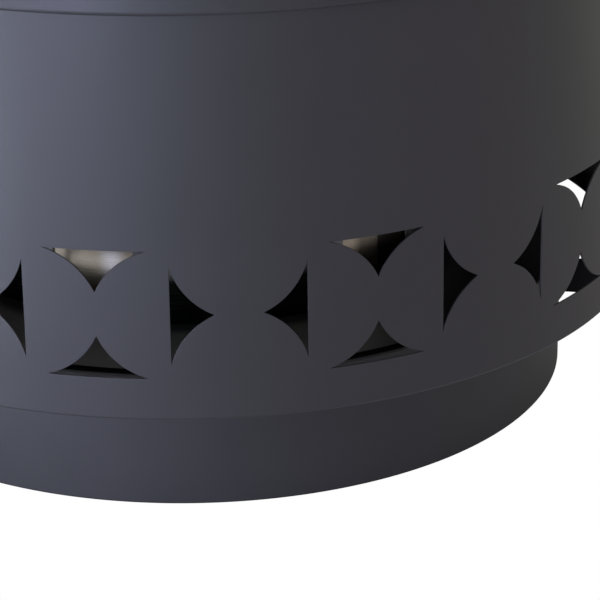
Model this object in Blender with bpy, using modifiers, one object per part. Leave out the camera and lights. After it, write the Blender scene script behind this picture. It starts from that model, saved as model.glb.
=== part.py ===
"""A drum fire pit: an outer casing with half-star cut-outs hung round a base plinth, with a stainless
fire bowl, an ash pan and a log grate inside, and a ledge and a flame ring on top.

Metres, +Z up. The origin is on the drum's axis at the ground. Angles go anticlockwise from +X, seen
from above, and the first group of cut-outs is centred on -Y.
"""

import bmesh
import bpy
from math import atan2, cos, pi, radians, sin, sqrt, tan
from mathutils import Matrix, Vector

# Driving dimensions, in metres. TOUCH is the gap between pieces that touch, and WELD merges one
# piece's own points.
SHELL_RADIUS = 0.350
SHELL_BOTTOM = 0.0944
LEDGE_BOTTOM = 0.388
TOTAL_HEIGHT = 0.420
PLINTH_RADIUS = 0.2912
PLINTH_TOP = 0.105
BOWL_RADIUS = 0.205
CASING_SHEET = 0.0015
BRACKET_SHEET = 0.002
PAN_SHEET = 0.0012
TOUCH = 0.0003
WELD = 0.00001

# Half-star cut-outs: a straight edge and two hollow arcs that meet in a cusp
GROUPS = 11
STAR_WIDTH = 0.0732
STAR_DEPTH = 0.0310
STAR_ARC_HALF_ANGLE = radians(26)
GROUP_HEIGHT = 0.1733
TOP_EDGE_OFFSET = 0.0473
SIDE_EDGE_OFFSET = 0.0520

# Casing edges
SHELL_LIP = 0.013
SHELL_FLANGE = 0.025
SHELL_SHOULDER = 0.009
PLINTH_LIP = 0.017
PLINTH_SHOULDER = 0.005
FOLD = 0.002
LEDGE_OVERHANG = 0.0058
LEDGE_TAPER = 0.0025
LEDGE_SHOULDER = 0.012
LEDGE_CURL = 0.004
LEDGE_CURL_BEND = 0.0032
LEDGE_OPENING_RADIUS = 0.2245
LEDGE_INNER_DROP = 0.012
LEDGE_INNER_BEND = 0.004

# Support ring with windows, and the fire bowl that it carries
WINDOWS = 6
FIRST_WINDOW = radians(-101)
WINDOW_PITCH = radians(63.2)
WINDOW_WIDTH = 0.065
WINDOW_BOTTOM = 0.113
WINDOW_TOP = 0.172
RING_HEIGHT = 0.079
RING_FOOT = 0.024
RING_BEND = 0.005
BOWL_BOTTOM = 0.1125
BOWL_TOP = 0.400
BOWL_CORNER = 0.012
BOWL_RIM = 0.011
BOWL_RIM_BEND = 0.003
LOW_HOLES = 18
LOW_HOLE_RADIUS = 0.006
LOW_HOLE_HEIGHT = 0.192
HIGH_HOLES = 24
HIGH_HOLE_RADIUS = 0.0045
HIGH_HOLE_HEIGHT = 0.385

# Flame ring
FLAME_INNER_RADIUS = 0.190
FLAME_OUTER_RADIUS = 0.250
FLAME_LIP_DROP = 0.018
FLAME_BEND = 0.005

# Ash pan and log grate
PAN_RADIUS = 0.172
PAN_HEIGHT = 0.026
PAN_RIM = 0.005
PAN_RIM_BEND = 0.002
PAN_CORNER = 0.010
GRATE_RADIUS = 0.172
GRATE_HEIGHT = 0.205
RING_ROD = 0.005
BAR_ROD = 0.004
BARS = 9
BAR_PITCH = 0.036
CROSSBAR_OFFSET = 0.085
LEG_OFFSET = 0.105

# Brackets between the plinth and the casing, and the rivets
BRACKETS = 3
BRACKET_DROP = 0.0285
BRACKET_TAB = 0.024
BRACKET_END_GAP = 0.003
LIP_TAB_LENGTH = 0.015
WALL_RIVET_SHIFTS = (-0.0075, 0.007)
LIP_RIVET_RADIUS = 0.3425
FOOT_RIVET_RADIUS = 0.193
BOWL_RIVET_HEIGHT = 0.177
RIVET_SHANK = 0.0024
RIVET_HEAD = 0.005
RIVET_HEAD_CROWN = 0.003
RIVET_HEAD_EDGE = 0.0018
RIVET_HEAD_TOP = 0.0022
RIVET_TAIL = 0.00375
RIVET_TAIL_HEIGHT = 0.0018
RIVET_HOLE = 0.0029
# How far the round wall falls away from the flat tab, at the rivets' outer edge
WALL_FALL = 0.0013

# Depths of the cutters, all longer than the sheet that they go through
STAR_CUT_DEPTH = 0.03
HOLE_CUT_DEPTH = 0.012
AIR_CUT_DEPTH = 0.02
WINDOW_CUT_IN = 0.015
WINDOW_CUT_OUT = 0.01

# Roundness of the turned pieces
SHELL_STEPS = 66
PLINTH_STEPS = 60
LEDGE_STEPS = 60
BOWL_STEPS = 48
ROD_SIDES = 8
RIVET_SIDES = 8
GRATE_RING_STEPS = 40
BEND_STEPS = 2
STAR_ARC_STEPS = 5


# Scene and materials

def clear_scene():
    for old in list(bpy.data.objects):
        bpy.data.objects.remove(old)


def new_collection(name, hidden=False):
    made = bpy.data.collections.new(name)
    bpy.context.scene.collection.children.link(made)
    made.hide_render = hidden
    return made


def material(name, colour, roughness, metallic):
    made = bpy.data.materials.new(name)
    made.use_nodes = True
    shader = made.node_tree.nodes["Principled BSDF"]
    shader.inputs["Base Color"].default_value = (*colour, 1)
    shader.inputs["Roughness"].default_value = roughness
    shader.inputs["Metallic"].default_value = metallic
    return made


clear_scene()
PARTS = new_collection("fire_pit")
CUTTERS = new_collection("cutters", hidden=True)

CASING = material("casing_coat", (0.075, 0.078, 0.095), 0.45, 0.0)
STEEL = material("bowl_steel", (0.56, 0.50, 0.44), 0.30, 1.0)
RING_STEEL = material("ring_steel", (0.36, 0.37, 0.39), 0.40, 1.0)
BLACK_STEEL = material("grate_steel", (0.045, 0.042, 0.040), 0.60, 0.6)
RIVET_STEEL = material("rivet_steel", (0.50, 0.50, 0.50), 0.35, 1.0)


# Placing and finishing

def add(name, mesh, finish, matrix=None):
    part = bpy.data.objects.new(name, mesh)
    PARTS.objects.link(part)
    if matrix is not None:
        part.matrix_world = matrix
    if finish.name not in mesh.materials:
        mesh.materials.append(finish)
    return part


def add_cutter(name, mesh, matrix, collection):
    cutter = bpy.data.objects.new(name, mesh)
    cutter.matrix_world = matrix
    cutter.display_type = "WIRE"
    cutter.hide_render = True
    collection.objects.link(cutter)


def cutter_set(name):
    made = bpy.data.collections.new(name)
    CUTTERS.children.link(made)
    return made


def cut(part, cutters):
    modifier = part.modifiers.new("cuts", "BOOLEAN")
    modifier.operation = "DIFFERENCE"
    modifier.operand_type = "COLLECTION"
    modifier.collection = cutters
    modifier.solver = "EXACT"


def smooth(mesh):
    mesh.shade_smooth()
    mesh.set_sharp_from_angle(angle=radians(30))


def outward(angle, radius, height):
    """Local X runs round the drum, local Y up and local Z straight out from its axis."""
    turn = Matrix((
        (-sin(angle), 0, cos(angle)),
        (cos(angle), 0, sin(angle)),
        (0, 1, 0),
    )).to_4x4()
    return Matrix.Translation((radius * cos(angle), radius * sin(angle), height)) @ turn


def upright(angle, radius, height):
    """Local X points out from the axis, and local Z stays up."""
    place = Matrix.Translation((radius * cos(angle), radius * sin(angle), height))
    return place @ Matrix.Rotation(angle, 4, "Z")


# Shapes

def rounded(corners):
    """The path through corners, each a (radius, height, bend), with every bend drawn as an arc."""
    points = []
    for i, (x, z, bend) in enumerate(corners):
        corner = Vector((x, z))
        if bend == 0 or i in (0, len(corners) - 1):
            points.append(corner)
            continue
        before = (Vector(corners[i - 1][:2]) - corner).normalized()
        after = (Vector(corners[i + 1][:2]) - corner).normalized()
        half = before.angle(after) / 2
        centre = corner + (before + after).normalized() * bend / sin(half)
        first = corner + before * bend / tan(half) - centre
        swing = first.angle_signed(corner + after * bend / tan(half) - centre)
        for step in range(BEND_STEPS + 1):
            spoke = first.copy()
            spoke.rotate(Matrix.Rotation(-swing * step / BEND_STEPS, 2))
            points.append(centre + spoke)
    return points


def sheet_loop(corners, thickness):
    """A sheet's section: its outer face down the path, then its inner face back up."""
    outer = rounded(corners)
    inner = []
    for i, point in enumerate(outer):
        sides = []
        for a, b in ((i - 1, i), (i, i + 1)):
            if 0 <= a and b < len(outer):
                along = (outer[b] - outer[a]).normalized()
                sides.append(Vector((along.y, -along.x)))
        normal = sum(sides, Vector((0, 0))).normalized()
        inner.append(point + normal * thickness / normal.dot(sides[0]))
    return outer + inner[::-1]


def turned(name, loop, steps, finish, matrix=None):
    """A solid turned round Z. Its section is a closed loop, left open where it lies on the axis."""
    mesh = bpy.data.meshes.new(name)
    following = loop[1:] + loop[:1]
    edges = []
    for i, (here, after) in enumerate(zip(loop, following)):
        if here[0] > 0 or after[0] > 0:
            edges.append((i, (i + 1) % len(loop)))
    mesh.from_pydata([(x, 0, z) for x, z in loop], edges, [])
    part = add(name, mesh, finish, matrix)
    screw = part.modifiers.new("turn", "SCREW")
    screw.steps = steps
    screw.render_steps = steps
    screw.use_merge_vertices = True
    screw.merge_threshold = WELD
    screw.use_smooth_shade = False
    return part


def rod_mesh(name, radius, length, sides=ROD_SIDES):
    """A round rod, lying along Z about its middle."""
    mesh = bpy.data.meshes.new(name)
    bm = bmesh.new()
    bmesh.ops.create_cone(
        bm, cap_ends=True, segments=sides, radius1=radius, radius2=radius, depth=length
    )
    bm.to_mesh(mesh)
    bm.free()
    smooth(mesh)
    return mesh


def box_mesh(name, low, high):
    mesh = bpy.data.meshes.new(name)
    bm = bmesh.new()
    bmesh.ops.create_cube(bm, size=1)
    size = [b - a for a, b in zip(low, high)]
    bmesh.ops.scale(bm, vec=size, verts=bm.verts)
    bmesh.ops.translate(bm, vec=[(a + b) / 2 for a, b in zip(low, high)], verts=bm.verts)
    bm.to_mesh(mesh)
    bm.free()
    return mesh


def outline_mesh(name, outline, depth):
    """A flat outline drawn as a curve and extruded evenly both ways along Z, as a mesh."""
    curve = bpy.data.curves.new(name, "CURVE")
    curve.dimensions = "2D"
    curve.fill_mode = "BOTH"
    curve.extrude = depth / 2
    spline = curve.splines.new("POLY")
    spline.points.add(len(outline) - 1)
    for point, (x, y) in zip(spline.points, outline):
        point.co = (x, y, 0, 1)
    spline.use_cyclic_u = True
    drawn = bpy.data.objects.new(name, curve)
    bpy.context.scene.collection.objects.link(drawn)
    graph = bpy.context.evaluated_depsgraph_get()
    mesh = bpy.data.meshes.new_from_object(drawn.evaluated_get(graph))
    bpy.data.objects.remove(drawn)
    bm = bmesh.new()
    bm.from_mesh(mesh)
    bmesh.ops.remove_doubles(bm, verts=bm.verts, dist=WELD)
    bmesh.ops.recalc_face_normals(bm, faces=bm.faces)
    bm.to_mesh(mesh)
    bm.free()
    return mesh


def half_star():
    """Straight edge along X through the origin, with the cusp at -Y."""
    tip = Vector((STAR_WIDTH / 2, 0))
    cusp = Vector((0, -STAR_DEPTH))
    chord = tip - cusp
    radius = chord.length / 2 / sin(STAR_ARC_HALF_ANGLE)
    across = Vector((chord.y, -chord.x)).normalized()
    centre = (tip + cusp) / 2 + across * radius * cos(STAR_ARC_HALF_ANGLE)
    start = (cusp - centre).to_tuple()
    first = atan2(start[1], start[0])
    arc = []
    for step in range(STAR_ARC_STEPS + 1):
        angle = first - 2 * STAR_ARC_HALF_ANGLE * step / STAR_ARC_STEPS
        arc.append(centre + radius * Vector((cos(angle), sin(angle))))
    mirrored = [Vector((-point.x, point.y)) for point in arc[:0:-1]]
    return mirrored + arc


# Casing

def build_shell():
    top = TOTAL_HEIGHT - CASING_SHEET - TOUCH
    shell = turned("outer_shell", sheet_loop([
        (SHELL_RADIUS - SHELL_FLANGE, top, 0),
        (SHELL_RADIUS, top, SHELL_SHOULDER),
        (SHELL_RADIUS, SHELL_BOTTOM, FOLD),
        (SHELL_RADIUS - SHELL_LIP, SHELL_BOTTOM, 0),
    ], CASING_SHEET), SHELL_STEPS, CASING)
    cuts = cutter_set("shell_cuts")
    star = outline_mesh("star_cut", half_star(), STAR_CUT_DEPTH)
    spots = [
        (0, TOP_EDGE_OFFSET, 0),
        (0, -TOP_EDGE_OFFSET, pi),
        (SIDE_EDGE_OFFSET, 0, pi / 2),
        (-SIDE_EDGE_OFFSET, 0, -pi / 2),
    ]
    for group in range(GROUPS):
        centre = -pi / 2 + group * 2 * pi / GROUPS
        for along, up, spin in spots:
            place = outward(centre + along / SHELL_RADIUS, SHELL_RADIUS, GROUP_HEIGHT + up)
            add_cutter("star_cut", star, place @ Matrix.Rotation(spin, 4, "Z"), cuts)
    for angle in bracket_angles():
        hole = rod_mesh("lip_hole", RIVET_HOLE, HOLE_CUT_DEPTH, RIVET_SIDES)
        add_cutter("lip_hole", hole, bracket_frame(angle) @ LIP_RIVET, cuts)
    cut(shell, cuts)


def build_plinth():
    plinth = turned("base_plinth", sheet_loop([
        (0, PLINTH_TOP, 0),
        (PLINTH_RADIUS, PLINTH_TOP, PLINTH_SHOULDER),
        (PLINTH_RADIUS, 0, FOLD),
        (PLINTH_RADIUS - PLINTH_LIP, 0, 0),
    ], CASING_SHEET), PLINTH_STEPS, CASING)
    cuts = cutter_set("plinth_cuts")
    hole = rod_mesh("plinth_hole", RIVET_HOLE, HOLE_CUT_DEPTH, RIVET_SIDES)
    for angle in bracket_angles():
        for spot in WALL_RIVETS:
            add_cutter("wall_hole", hole, bracket_frame(angle) @ spot, cuts)
    for angle in foot_rivet_angles():
        add_cutter("top_hole", hole, upright(angle, FOOT_RIVET_RADIUS, PLINTH_TOP), cuts)
    cut(plinth, cuts)


def build_ledge():
    outer = SHELL_RADIUS + LEDGE_OVERHANG
    turned("top_ledge", sheet_loop([
        (LEDGE_OPENING_RADIUS, TOTAL_HEIGHT - LEDGE_INNER_DROP, 0),
        (LEDGE_OPENING_RADIUS, TOTAL_HEIGHT, LEDGE_INNER_BEND),
        (outer - LEDGE_TAPER, TOTAL_HEIGHT, LEDGE_SHOULDER),
        (outer, LEDGE_BOTTOM, LEDGE_CURL_BEND),
        (outer - LEDGE_CURL, LEDGE_BOTTOM, 0),
    ], CASING_SHEET), LEDGE_STEPS, CASING)


# Brackets and rivets. A bracket's own frame has X out from the drum's axis, at ground level.

BRACKET_TOP = SHELL_BOTTOM - TOUCH
BRACKET_BOTTOM = BRACKET_TOP - BRACKET_DROP
BRACKET_INNER = PLINTH_RADIUS + TOUCH
BRACKET_OUTER = SHELL_RADIUS - BRACKET_END_GAP
TAB_MIDDLE = BRACKET_SHEET / 2 + BRACKET_TAB / 2
WALL_RIVETS = [
    Matrix.Translation((BRACKET_INNER, TAB_MIDDLE, (BRACKET_TOP + BRACKET_BOTTOM) / 2 + shift))
    @ Matrix.Rotation(pi / 2, 4, "Y")
    for shift in WALL_RIVET_SHIFTS
]
LIP_RIVET = (
    Matrix.Translation((LIP_RIVET_RADIUS, TAB_MIDDLE, SHELL_BOTTOM)) @ Matrix.Rotation(pi, 4, "X")
)


def bracket_angles():
    return [2 * pi * i / BRACKETS for i in range(BRACKETS)]


def foot_rivet_angles():
    first = -pi / 2 + 2 * pi / GROUPS
    return [first + 2 * pi * i / WINDOWS for i in range(WINDOWS)]


def bracket_frame(angle):
    return Matrix.Rotation(angle, 4, "Z")


def build_bracket(number, angle):
    """A radial web with a tab on the plinth's wall and a tab under the casing's lip."""
    half = BRACKET_SHEET / 2
    name = f"shell_bracket_{number}"
    web = box_mesh(
        name, (BRACKET_INNER, -half, BRACKET_BOTTOM), (BRACKET_OUTER, half, BRACKET_TOP)
    )
    bracket = add(name, web, CASING, bracket_frame(angle))
    tabs = {
        "wall_tab": ((BRACKET_INNER, 0, BRACKET_BOTTOM),
                     (BRACKET_INNER + BRACKET_SHEET, half + BRACKET_TAB, BRACKET_TOP)),
        "lip_tab": ((BRACKET_OUTER - LIP_TAB_LENGTH, 0, BRACKET_TOP - BRACKET_SHEET),
                    (BRACKET_OUTER, half + BRACKET_TAB, BRACKET_TOP)),
    }
    for tab, (low, high) in tabs.items():
        pieces = cutter_set(f"{name}_{tab}")
        add_cutter(tab, box_mesh(tab, low, high), bracket_frame(angle), pieces)
        joint = bracket.modifiers.new(tab, "BOOLEAN")
        joint.operation = "UNION"
        joint.operand_type = "COLLECTION"
        joint.collection = pieces
        joint.solver = "EXACT"
    cuts = cutter_set(f"{name}_holes")
    hole = rod_mesh("bracket_hole", RIVET_HOLE, HOLE_CUT_DEPTH, RIVET_SIDES)
    for spot in [*WALL_RIVETS, LIP_RIVET]:
        add_cutter("bracket_hole", hole, bracket_frame(angle) @ spot, cuts)
    cut(bracket, cuts)


def build_rivet(name, place, outside, inside):
    """A blind rivet along Z: a domed head above `outside` and a tail below `inside`."""
    top = outside + TOUCH
    bottom = inside - TOUCH
    turned(name, [
        (0, top + RIVET_HEAD_TOP),
        (RIVET_HEAD_CROWN, top + RIVET_HEAD_EDGE),
        (RIVET_HEAD, top),
        (RIVET_SHANK, top),
        (RIVET_SHANK, bottom),
        (RIVET_TAIL, bottom),
        (0, bottom - RIVET_TAIL_HEIGHT),
    ], RIVET_SIDES, RIVET_STEEL, place)


def build_brackets():
    for number, angle in enumerate(bracket_angles(), 1):
        frame = bracket_frame(angle)
        build_bracket(number, angle)
        for spot, name in zip(WALL_RIVETS, ("lower", "upper")):
            build_rivet(
                f"bracket_rivet_{name}_{number}", frame @ spot, BRACKET_SHEET, -WALL_FALL - CASING_SHEET
            )
        build_rivet(
            f"lip_rivet_{number}", frame @ LIP_RIVET, BRACKET_SHEET + TOUCH, -CASING_SHEET
        )


# Fire bowl and the ring under it

def build_ring():
    radius = BOWL_RADIUS + TOUCH + CASING_SHEET
    foot = PLINTH_TOP + TOUCH
    ring = turned("support_ring", sheet_loop([
        (radius, PLINTH_TOP + RING_HEIGHT, 0),
        (radius, foot, RING_BEND),
        (radius - RING_FOOT, foot, 0),
    ], CASING_SHEET), BOWL_STEPS, RING_STEEL)
    cuts = cutter_set("ring_cuts")
    window = box_mesh("window_cut", (-WINDOW_WIDTH / 2, WINDOW_BOTTOM, -WINDOW_CUT_IN),
                      (WINDOW_WIDTH / 2, WINDOW_TOP, WINDOW_CUT_OUT))
    hole = rod_mesh("ring_hole", RIVET_HOLE, HOLE_CUT_DEPTH, RIVET_SIDES)
    for angle in window_angles():
        add_cutter("window_cut", window, outward(angle, radius, 0), cuts)
    for angle in bowl_rivet_angles():
        add_cutter("wall_hole", hole, outward(angle, radius, BOWL_RIVET_HEIGHT), cuts)
    for angle in foot_rivet_angles():
        add_cutter("foot_hole", hole, upright(angle, FOOT_RIVET_RADIUS, PLINTH_TOP), cuts)
    cut(ring, cuts)


def window_angles():
    """One pitch after another from the first, and the last one midway in the stretch that is left."""
    angles = [FIRST_WINDOW + WINDOW_PITCH * i for i in range(WINDOWS - 1)]
    return [*angles, (angles[-1] + FIRST_WINDOW + 2 * pi) / 2]


def bowl_rivet_angles():
    """Midway between neighbouring windows."""
    angles = window_angles()
    after = [*angles[1:], angles[0] + 2 * pi]
    return [(a + b) / 2 for a, b in zip(angles, after)]


def build_bowl():
    rim = BOWL_TOP - CASING_SHEET
    bowl = turned("burn_chamber", sheet_loop([
        (BOWL_RADIUS + BOWL_RIM, rim, 0),
        (BOWL_RADIUS, rim, BOWL_RIM_BEND),
        (BOWL_RADIUS, BOWL_BOTTOM, BOWL_CORNER),
        (0, BOWL_BOTTOM, 0),
    ], CASING_SHEET), BOWL_STEPS, STEEL)
    cuts = cutter_set("bowl_cuts")
    rows = [
        (LOW_HOLES, LOW_HOLE_RADIUS, LOW_HOLE_HEIGHT),
        (HIGH_HOLES, HIGH_HOLE_RADIUS, HIGH_HOLE_HEIGHT),
    ]
    for count, radius, height in rows:
        hole = rod_mesh("air_hole", radius, AIR_CUT_DEPTH)
        for i in range(count):
            place = outward(2 * pi * (i + 0.5) / count, BOWL_RADIUS, height)
            add_cutter("air_hole", hole, place, cuts)
    rivet_hole = rod_mesh("bowl_rivet_hole", RIVET_HOLE, HOLE_CUT_DEPTH, RIVET_SIDES)
    for angle in bowl_rivet_angles():
        place = outward(angle, BOWL_RADIUS, BOWL_RIVET_HEIGHT)
        add_cutter("bowl_rivet_hole", rivet_hole, place, cuts)
    cut(bowl, cuts)


def build_bowl_rivets():
    wall = BOWL_RADIUS - CASING_SHEET
    for number, angle in enumerate(bowl_rivet_angles(), 1):
        place = outward(angle, wall, BOWL_RIVET_HEIGHT)
        build_rivet(f"chamber_rivet_{number}", place, 2 * CASING_SHEET + TOUCH, -TOUCH)
    for number, angle in enumerate(foot_rivet_angles(), 1):
        place = upright(angle, FOOT_RIVET_RADIUS, PLINTH_TOP)
        build_rivet(f"ring_rivet_{number}", place, CASING_SHEET + TOUCH, -CASING_SHEET)


def build_flame_ring():
    top = TOTAL_HEIGHT + TOUCH + CASING_SHEET
    turned("flame_ring", sheet_loop([
        (FLAME_INNER_RADIUS, TOTAL_HEIGHT - FLAME_LIP_DROP, 0),
        (FLAME_INNER_RADIUS, top, FLAME_BEND),
        (FLAME_OUTER_RADIUS, top, 0),
    ], CASING_SHEET), BOWL_STEPS, STEEL)


# Ash pan and log grate

PAN_BOTTOM = BOWL_BOTTOM + CASING_SHEET + TOUCH


def build_pan():
    turned("ash_pan", sheet_loop([
        (PAN_RADIUS + PAN_RIM, PAN_BOTTOM + PAN_HEIGHT, 0),
        (PAN_RADIUS, PAN_BOTTOM + PAN_HEIGHT, PAN_RIM_BEND),
        (PAN_RADIUS, PAN_BOTTOM, PAN_CORNER),
        (0, PAN_BOTTOM, 0),
    ], PAN_SHEET), BOWL_STEPS, RING_STEEL)


def build_grate_ring():
    bpy.ops.mesh.primitive_torus_add(
        major_radius=GRATE_RADIUS, minor_radius=RING_ROD, major_segments=GRATE_RING_STEPS,
        minor_segments=ROD_SIDES, location=(0, 0, GRATE_HEIGHT),
    )
    ring = bpy.context.object
    ring.name = "grate_ring"
    ring.data.materials.append(BLACK_STEEL)
    smooth(ring.data)
    ring.users_collection[0].objects.unlink(ring)
    PARTS.objects.link(ring)


def build_grate_bars():
    """Thin bars along X on top of the ring, over two thicker crossbars inside it."""
    outer = GRATE_RADIUS + RING_ROD
    height = GRATE_HEIGHT + RING_ROD + TOUCH + BAR_ROD
    for i in range(BARS):
        y = (i - (BARS - 1) / 2) * BAR_PITCH
        reach = sqrt(outer ** 2 - (abs(y) + BAR_ROD) ** 2)
        bar = rod_mesh(f"grate_bar_{i + 1}", BAR_ROD, 2 * reach)
        place = Matrix.Translation((0, y, height)) @ Matrix.Rotation(pi / 2, 4, "Y")
        add(bar.name, bar, BLACK_STEEL, place)

    inner = (GRATE_RADIUS - RING_ROD) * cos(pi / GRATE_RING_STEPS) - TOUCH
    reach = sqrt(inner ** 2 - (CROSSBAR_OFFSET + RING_ROD) ** 2)
    crossbar = rod_mesh("grate_crossbar", RING_ROD, 2 * reach)
    for i, x in enumerate((-CROSSBAR_OFFSET, CROSSBAR_OFFSET), 1):
        place = Matrix.Translation((x, 0, GRATE_HEIGHT)) @ Matrix.Rotation(pi / 2, 4, "X")
        add(f"grate_crossbar_{i}", crossbar, BLACK_STEEL, place)


def build_grate_legs():
    low = PAN_BOTTOM + PAN_SHEET + TOUCH
    high = GRATE_HEIGHT - RING_ROD - TOUCH
    leg = rod_mesh("grate_leg", RING_ROD, high - low)
    corners = [(x, y) for x in (-1, 1) for y in (-1, 1)]
    for number, (x, y) in enumerate(corners, 1):
        place = Matrix.Translation((x * CROSSBAR_OFFSET, y * LEG_OFFSET, (low + high) / 2))
        add(f"grate_leg_{number}", leg, BLACK_STEEL, place)


build_shell()
build_plinth()
build_ledge()
build_brackets()
build_ring()
build_bowl()
build_bowl_rivets()
build_flame_ring()
build_pan()
build_grate_ring()
build_grate_bars()
build_grate_legs()
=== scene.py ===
"""The looks of a drum fire pit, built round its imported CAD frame.

Every turned sheet piece is made again with true bends, rounded cut edges and exact normals, and every
surface gets a procedural material. Metres, +Z up, angles anticlockwise from +X.
"""

from math import asin, atan2, ceil, cos, hypot, pi, radians, sin, sqrt, tan

import bmesh
import bpy
import numpy as np
from mathutils import Matrix, Vector
from mathutils.geometry import delaunay_2d_cdt


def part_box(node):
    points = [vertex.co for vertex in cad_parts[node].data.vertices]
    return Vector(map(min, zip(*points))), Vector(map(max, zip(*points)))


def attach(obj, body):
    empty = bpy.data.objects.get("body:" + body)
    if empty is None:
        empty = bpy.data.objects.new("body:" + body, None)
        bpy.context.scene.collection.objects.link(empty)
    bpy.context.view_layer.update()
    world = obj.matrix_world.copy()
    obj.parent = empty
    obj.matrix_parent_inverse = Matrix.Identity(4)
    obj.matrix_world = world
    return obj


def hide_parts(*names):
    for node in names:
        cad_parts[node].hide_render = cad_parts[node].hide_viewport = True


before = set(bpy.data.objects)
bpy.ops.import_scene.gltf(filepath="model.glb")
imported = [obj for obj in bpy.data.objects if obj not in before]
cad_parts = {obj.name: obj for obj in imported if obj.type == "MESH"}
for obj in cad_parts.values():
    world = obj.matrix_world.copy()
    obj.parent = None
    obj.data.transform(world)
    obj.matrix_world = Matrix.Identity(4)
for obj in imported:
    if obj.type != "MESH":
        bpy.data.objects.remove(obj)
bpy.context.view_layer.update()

# Sizes of the CAD: radii, heights, turned edges and sheet thicknesses
SHELL_RADIUS = 0.350
SHELL_TURN_IN = 0.025
SHELL_LIP = 0.013
SHELL_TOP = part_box("outer_shell")[1].z
SHELL_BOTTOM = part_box("outer_shell")[0].z
PLINTH_RADIUS = 0.2912
PLINTH_TOP = 0.105
PLINTH_BEND = 0.005
PLINTH_LIP = 0.017
LEDGE_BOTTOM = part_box("top_ledge")[0].z
LEDGE_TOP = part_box("top_ledge")[1].z
LEDGE_RADIUS = 0.3555
LEDGE_TAPER = 0.0025
LEDGE_BORE = 0.2245
LEDGE_COLLAR = 0.012
LEDGE_LIP = 0.004
BOWL_RADIUS = 0.205
BOWL_FLANGE = 0.011
BOWL_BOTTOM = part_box("burn_chamber")[0].z
BOWL_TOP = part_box("burn_chamber")[1].z
RING_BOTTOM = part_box("support_ring")[0].z
RING_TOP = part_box("support_ring")[1].z
RING_FOOT = 0.024
FLAME_BORE = 0.190
FLAME_RIM = 0.250
FLAME_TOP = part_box("flame_ring")[1].z
FLAME_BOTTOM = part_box("flame_ring")[0].z
PAN_RADIUS = 0.172
PAN_FLANGE = 0.005
PAN_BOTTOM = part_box("ash_pan")[0].z
PAN_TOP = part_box("ash_pan")[1].z
SHEET = 0.0015
PAN_SHEET = 0.0012
# The gap that the CAD leaves between pieces that touch
TOUCH = 0.0003

# Cut-outs of the casing: groups of four half stars, each placed by its straight edge
GROUPS = 11
STAR_WIDTH = 0.0732
STAR_DEPTH = 0.0310
STAR_ARC_HALF_ANGLE = radians(26)
STAR_ARC_STEPS = 14
STAR_EDGE_PITCH = 0.0035
GROUP_HEIGHT = 0.1733
TOP_EDGE_OFFSET = 0.0473
SIDE_EDGE_OFFSET = 0.0520

# Windows in the ring under the bowl
WINDOWS = 6
FIRST_WINDOW = radians(-101)
WINDOW_PITCH = radians(63.2)
WINDOW_WIDTH = 0.065
WINDOW_BOTTOM = 0.113
WINDOW_TOP = 0.172
WINDOW_CORNER = 0.0015
WINDOW_EDGE_PITCH = 0.0041

# Air holes of the bowl, as (how many, height, radius, points round it)
LOW_HOLES = (18, 0.192, 0.006, 24)
HIGH_HOLES = (24, 0.385, 0.0045, 20)

# The outer walls of the bowl and its ring reflect as if they widened upwards by this much. A normal
# belongs to an outer wall where more than this share of it points out.
WALL_LEAN = radians(2.3)
WALL_FACING = 0.95

# The bands of wall that have holes, as (low, high, longest step between rows)
CASING_BAND = (0.112, 0.235, 0.006)
RING_BAND = (0.111, 0.178, 0.005)
BOWL_BAND = (0.180, 0.3935, 0.0065)

# How finely the pieces are made, and how their cut edges are rounded
WELD = 0.000004
CUT_EDGE = 0.0005
PLATE_EDGE = 0.0003
EDGE_ROUND = 0.00025
EDGE_STEPS = 3
MITRE_LIMIT = 2.5
SHELL_STEPS = GROUPS * 32
PLINTH_STEPS = 288
BOWL_STEPS = 240
BOWL_SECTORS = 6


# Sections of bent sheet

def arc_steps(bend):
    """How many chords a bend gets."""
    if bend < 0.001:
        return 3
    return 6 if bend < 0.0045 else 12


def section(corners):
    """A closed section from corners of (radius, height, bend), in order with the metal on the right.

    Gives (points, outward normals). A corner on the axis stays a point.
    """
    count = len(corners)
    points, normals = [], []
    for i, (x, z, bend) in enumerate(corners):
        corner = Vector((x, z))
        before = (Vector(corners[i - 1][:2]) - corner).normalized()
        after = (Vector(corners[(i + 1) % count][:2]) - corner).normalized()
        if x < WELD:
            along = after if corners[(i + 1) % count][0] > WELD else -before
            points.append((x, z))
            normals.append((-along.y, along.x))
            continue
        half = before.angle(after) / 2
        centre = corner + (before + after).normalized() * bend / sin(half)
        first = corner + before * bend / tan(half) - centre
        swing = first.angle_signed(corner + after * bend / tan(half) - centre)
        outward = 1 if before.x * after.y - before.y * after.x > 0 else -1
        steps = arc_steps(bend)
        for step in range(steps + 1):
            spoke = first.copy()
            spoke.rotate(Matrix.Rotation(-swing * step / steps, 2))
            points.append(tuple(centre + spoke))
            normals.append(tuple(spoke.normalized() * outward))
    return np.array(points), np.array(normals)


def sheet(corners, thickness):
    """The closed section of a sheet: corners of its outer face, each (radius, height, bend there)."""
    flat = [Vector(corner[:2]) for corner in corners]
    inner = []
    last = len(flat) - 1
    for i, point in enumerate(flat):
        ways = []
        for a, b in ((i - 1, i), (i, i + 1)):
            if 0 <= a and b <= last:
                ways.append((flat[b] - flat[a]).normalized())
        sides = [Vector((way.y, -way.x)) for way in ways]
        mitre = sum(sides, Vector((0, 0))).normalized()
        spot = point + mitre * thickness / mitre.dot(sides[0])
        turn = ways[0].x * ways[-1].y - ways[0].y * ways[-1].x
        bend = corners[i][2] + (thickness if turn > 0 else -thickness)
        inner.append((spot.x, spot.y, CUT_EDGE if i in (0, last) else max(bend, CUT_EDGE)))
    outer = [(x, z, CUT_EDGE if i in (0, last) else bend) for i, (x, z, bend) in enumerate(corners)]
    return section(outer + inner[::-1])


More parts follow.
